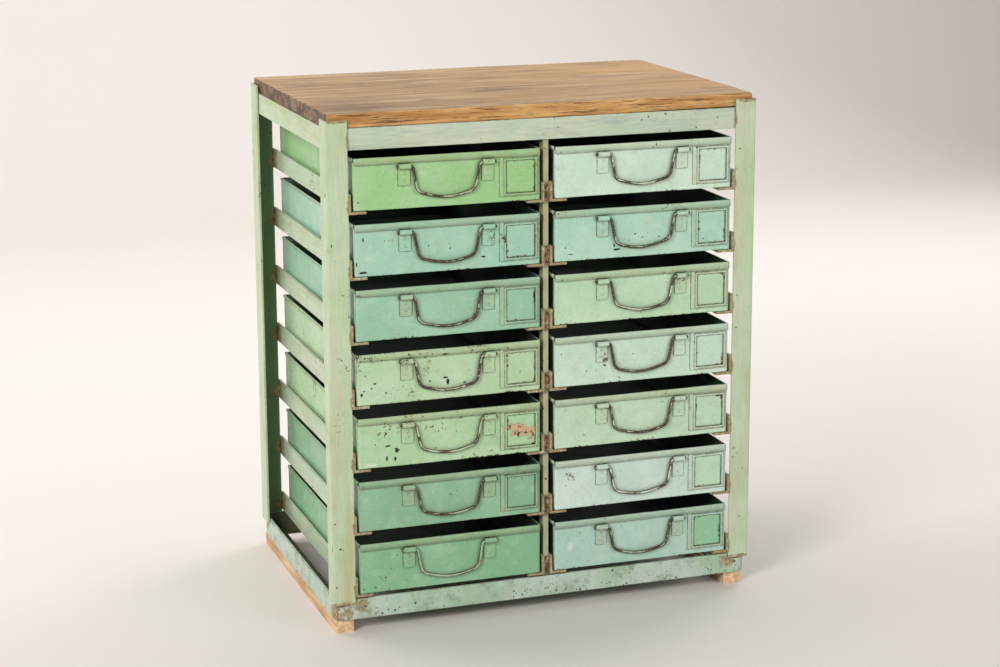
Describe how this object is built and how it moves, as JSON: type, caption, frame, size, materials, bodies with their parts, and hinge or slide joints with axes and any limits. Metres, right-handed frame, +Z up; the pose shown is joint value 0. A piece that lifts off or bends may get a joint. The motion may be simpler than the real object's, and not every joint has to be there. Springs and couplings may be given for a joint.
{
  "type": "metal tray cabinet",
  "caption": "Open welded-angle rack with two columns of shallow pull-out steel trays, wire bail handles, card holders, a board top and two skids.",
  "frame": {"origin": "on the floor, under the middle of the bounding box", "axes": "+Z up, the front with the handles faces -Y, +X to the right seen from the front"},
  "size_m": [0.8, 0.5492, 0.925],
  "materials": {
    "frame_paint": "old brushed paint, stained and chipped",
    "runner_paint": "old paint, rusty at the ends",
    "handle_steel": "paint worn through to dark steel",
    "old_boards": "weathered and waxed",
    "new_pine": "bare",
    "screw_steel": "zinc plated",
    "left_drawer_1_paint": "old gloss paint, chipped at the edges",
    "left_drawer_2_paint": "old gloss paint, chipped at the edges",
    "left_drawer_3_paint": "old gloss paint, chipped at the edges",
    "left_drawer_4_paint": "old gloss paint, chipped at the edges",
    "left_drawer_5_paint": "old gloss paint, chipped at the edges",
    "left_drawer_6_paint": "old gloss paint, chipped at the edges",
    "left_drawer_7_paint": "old gloss paint, chipped at the edges",
    "right_drawer_1_paint": "old gloss paint, chipped at the edges",
    "right_drawer_2_paint": "old gloss paint, chipped at the edges",
    "right_drawer_3_paint": "old gloss paint, chipped at the edges",
    "right_drawer_4_paint": "old gloss paint, chipped at the edges",
    "right_drawer_5_paint": "old gloss paint, chipped at the edges",
    "right_drawer_6_paint": "old gloss paint, chipped at the edges",
    "right_drawer_7_paint": "old gloss paint, chipped at the edges"
  },
  "bodies": {
    "frame": {"front_left_post": "frame_paint", "front_right_post": "frame_paint", "rear_left_post": "frame_paint", "rear_right_post": "frame_paint", "top_front_rail": "frame_paint", "top_rear_rail": "frame_paint", "top_left_rail": "frame_paint", "top_right_rail": "frame_paint", "bottom_frame": "frame_paint", "centre_posts": "frame_paint", "left_side_runners": "runner_paint", "left_centre_runners": "runner_paint", "right_centre_runners": "runner_paint", "right_side_runners": "runner_paint", "timber_top": "old_boards", "left_skid": "new_pine", "right_skid": "new_pine", "wood_screws": "screw_steel"},
    "left_drawer_1": {"left_drawer_1_tray": "left_drawer_1_paint", "left_drawer_1_fittings": "left_drawer_1_paint"},
    "left_drawer_1_bail": {"left_drawer_1_handle": "handle_steel"},
    "left_drawer_2": {"left_drawer_2_tray": "left_drawer_2_paint", "left_drawer_2_fittings": "left_drawer_2_paint"},
    "left_drawer_2_bail": {"left_drawer_2_handle": "handle_steel"},
    "left_drawer_3": {"left_drawer_3_tray": "left_drawer_3_paint", "left_drawer_3_fittings": "left_drawer_3_paint"},
    "left_drawer_3_bail": {"left_drawer_3_handle": "handle_steel"},
    "left_drawer_4": {"left_drawer_4_tray": "left_drawer_4_paint", "left_drawer_4_fittings": "left_drawer_4_paint"},
    "left_drawer_4_bail": {"left_drawer_4_handle": "handle_steel"},
    "left_drawer_5": {"left_drawer_5_tray": "left_drawer_5_paint", "left_drawer_5_fittings": "left_drawer_5_paint"},
    "left_drawer_5_bail": {"left_drawer_5_handle": "handle_steel"},
    "left_drawer_6": {"left_drawer_6_tray": "left_drawer_6_paint", "left_drawer_6_fittings": "left_drawer_6_paint"},
    "left_drawer_6_bail": {"left_drawer_6_handle": "handle_steel"},
    "left_drawer_7": {"left_drawer_7_tray": "left_drawer_7_paint", "left_drawer_7_fittings": "left_drawer_7_paint"},
    "left_drawer_7_bail": {"left_drawer_7_handle": "handle_steel"},
    "right_drawer_1": {"right_drawer_1_tray": "right_drawer_1_paint", "right_drawer_1_fittings": "right_drawer_1_paint"},
    "right_drawer_1_bail": {"right_drawer_1_handle": "handle_steel"},
    "right_drawer_2": {"right_drawer_2_tray": "right_drawer_2_paint", "right_drawer_2_fittings": "right_drawer_2_paint"},
    "right_drawer_2_bail": {"right_drawer_2_handle": "handle_steel"},
    "right_drawer_3": {"right_drawer_3_tray": "right_drawer_3_paint", "right_drawer_3_fittings": "right_drawer_3_paint"},
    "right_drawer_3_bail": {"right_drawer_3_handle": "handle_steel"},
    "right_drawer_4": {"right_drawer_4_tray": "right_drawer_4_paint", "right_drawer_4_fittings": "right_drawer_4_paint"},
    "right_drawer_4_bail": {"right_drawer_4_handle": "handle_steel"},
    "right_drawer_5": {"right_drawer_5_tray": "right_drawer_5_paint", "right_drawer_5_fittings": "right_drawer_5_paint"},
    "right_drawer_5_bail": {"right_drawer_5_handle": "handle_steel"},
    "right_drawer_6": {"right_drawer_6_tray": "right_drawer_6_paint", "right_drawer_6_fittings": "right_drawer_6_paint"},
    "right_drawer_6_bail": {"right_drawer_6_handle": "handle_steel"},
    "right_drawer_7": {"right_drawer_7_tray": "right_drawer_7_paint", "right_drawer_7_fittings": "right_drawer_7_paint"},
    "right_drawer_7_bail": {"right_drawer_7_handle": "handle_steel"}
  },
  "joints": [
    {"name": "left_drawer_1_slide", "type": "slide", "parent": "frame", "child": "left_drawer_1", "axis": [0, -1, 0], "range_m": [0, 0.42]},
    {"name": "left_drawer_1_handle_pivot", "type": "hinge", "parent": "left_drawer_1", "child": "left_drawer_1_bail", "pos_m": [-0.1855, -0.27, 0.8302], "axis": [-1, 0, 0], "range_deg": [0, 120]},
    {"name": "left_drawer_2_slide", "type": "slide", "parent": "frame", "child": "left_drawer_2", "axis": [0, -1, 0], "range_m": [0, 0.42]},
    {"name": "left_drawer_2_handle_pivot", "type": "hinge", "parent": "left_drawer_2", "child": "left_drawer_2_bail", "pos_m": [-0.1855, -0.27, 0.7159], "axis": [-1, 0, 0], "range_deg": [0, 120]},
    {"name": "left_drawer_3_slide", "type": "slide", "parent": "frame", "child": "left_drawer_3", "axis": [0, -1, 0], "range_m": [0, 0.42]},
    {"name": "left_drawer_3_handle_pivot", "type": "hinge", "parent": "left_drawer_3", "child": "left_drawer_3_bail", "pos_m": [-0.1855, -0.27, 0.6016], "axis": [-1, 0, 0], "range_deg": [0, 120]},
    {"name": "left_drawer_4_slide", "type": "slide", "parent": "frame", "child": "left_drawer_4", "axis": [0, -1, 0], "range_m": [0, 0.42]},
    {"name": "left_drawer_4_handle_pivot", "type": "hinge", "parent": "left_drawer_4", "child": "left_drawer_4_bail", "pos_m": [-0.1855, -0.27, 0.4873], "axis": [-1, 0, 0], "range_deg": [0, 120]},
    {"name": "left_drawer_5_slide", "type": "slide", "parent": "frame", "child": "left_drawer_5", "axis": [0, -1, 0], "range_m": [0, 0.42]},
    {"name": "left_drawer_5_handle_pivot", "type": "hinge", "parent": "left_drawer_5", "child": "left_drawer_5_bail", "pos_m": [-0.1855, -0.27, 0.373], "axis": [-1, 0, 0], "range_deg": [0, 120]},
    {"name": "left_drawer_6_slide", "type": "slide", "parent": "frame", "child": "left_drawer_6", "axis": [0, -1, 0], "range_m": [0, 0.42]},
    {"name": "left_drawer_6_handle_pivot", "type": "hinge", "parent": "left_drawer_6", "child": "left_drawer_6_bail", "pos_m": [-0.1855, -0.27, 0.2587], "axis": [-1, 0, 0], "range_deg": [0, 120]},
    {"name": "left_drawer_7_slide", "type": "slide", "parent": "frame", "child": "left_drawer_7", "axis": [0, -1, 0], "range_m": [0, 0.42]},
    {"name": "left_drawer_7_handle_pivot", "type": "hinge", "parent": "left_drawer_7", "child": "left_drawer_7_bail", "pos_m": [-0.1855, -0.27, 0.1444], "axis": [-1, 0, 0], "range_deg": [0, 120]},
    {"name": "right_drawer_1_slide", "type": "slide", "parent": "frame", "child": "right_drawer_1", "axis": [0, -1, 0], "range_m": [0, 0.42]},
    {"name": "right_drawer_1_handle_pivot", "type": "hinge", "parent": "right_drawer_1", "child": "right_drawer_1_bail", "pos_m": [0.1795, -0.27, 0.8302], "axis": [-1, 0, 0], "range_deg": [0, 120]},
    {"name": "right_drawer_2_slide", "type": "slide", "parent": "frame", "child": "right_drawer_2", "axis": [0, -1, 0], "range_m": [0, 0.42]},
    {"name": "right_drawer_2_handle_pivot", "type": "hinge", "parent": "right_drawer_2", "child": "right_drawer_2_bail", "pos_m": [0.1795, -0.27, 0.7159], "axis": [-1, 0, 0], "range_deg": [0, 120]},
    {"name": "right_drawer_3_slide", "type": "slide", "parent": "frame", "child": "right_drawer_3", "axis": [0, -1, 0], "range_m": [0, 0.42]},
    {"name": "right_drawer_3_handle_pivot", "type": "hinge", "parent": "right_drawer_3", "child": "right_drawer_3_bail", "pos_m": [0.1795, -0.27, 0.6016], "axis": [-1, 0, 0], "range_deg": [0, 120]},
    {"name": "right_drawer_4_slide", "type": "slide", "parent": "frame", "child": "right_drawer_4", "axis": [0, -1, 0], "range_m": [0, 0.42]},
    {"name": "right_drawer_4_handle_pivot", "type": "hinge", "parent": "right_drawer_4", "child": "right_drawer_4_bail", "pos_m": [0.1795, -0.27, 0.4873], "axis": [-1, 0, 0], "range_deg": [0, 120]},
    {"name": "right_drawer_5_slide", "type": "slide", "parent": "frame", "child": "right_drawer_5", "axis": [0, -1, 0], "range_m": [0, 0.42]},
    {"name": "right_drawer_5_handle_pivot", "type": "hinge", "parent": "right_drawer_5", "child": "right_drawer_5_bail", "pos_m": [0.1795, -0.27, 0.373], "axis": [-1, 0, 0], "range_deg": [0, 120]},
    {"name": "right_drawer_6_slide", "type": "slide", "parent": "frame", "child": "right_drawer_6", "axis": [0, -1, 0], "range_m": [0, 0.42]},
    {"name": "right_drawer_6_handle_pivot", "type": "hinge", "parent": "right_drawer_6", "child": "right_drawer_6_bail", "pos_m": [0.1795, -0.27, 0.2587], "axis": [-1, 0, 0], "range_deg": [0, 120]},
    {"name": "right_drawer_7_slide", "type": "slide", "parent": "frame", "child": "right_drawer_7", "axis": [0, -1, 0], "range_m": [0, 0.42]},
    {"name": "right_drawer_7_handle_pivot", "type": "hinge", "parent": "right_drawer_7", "child": "right_drawer_7_bail", "pos_m": [0.1795, -0.27, 0.1444], "axis": [-1, 0, 0], "range_deg": [0, 120]}
  ]
}
